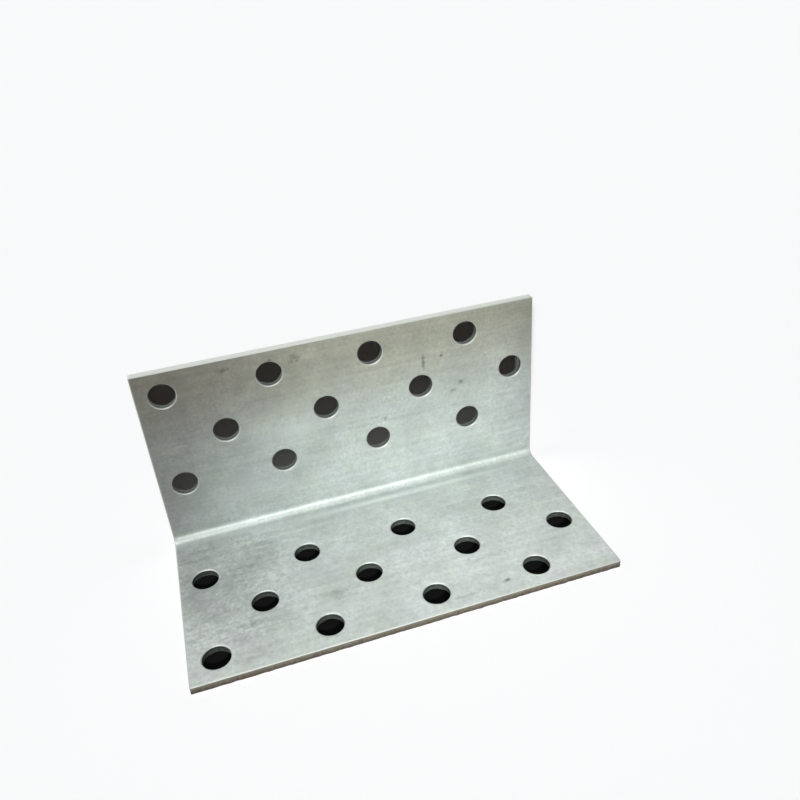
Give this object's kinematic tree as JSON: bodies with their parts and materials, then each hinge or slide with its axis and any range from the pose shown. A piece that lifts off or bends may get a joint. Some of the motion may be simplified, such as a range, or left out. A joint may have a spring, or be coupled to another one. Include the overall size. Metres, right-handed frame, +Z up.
{
  "type": "angle bracket",
  "caption": "Right-angle bracket folded from galvanised steel sheet, with staggered rows of nail and screw holes in both leaves, for joining timber at a corner.",
  "frame": {"origin": "middle of the bounding box's underside: mid-width, mid-depth, on the outer face of the lying leaf", "axes": "+X along the fold, +Y towards the outer face of the standing leaf, +Z up along the standing leaf"},
  "size_m": [0.08, 0.04, 0.04],
  "materials": {
    "galvanised_steel": "satin zinc coating, bare steel at sheared edges"
  },
  "bodies": {
    "root": {"angle_bracket": "galvanised_steel"}
  },
  "joints": []
}
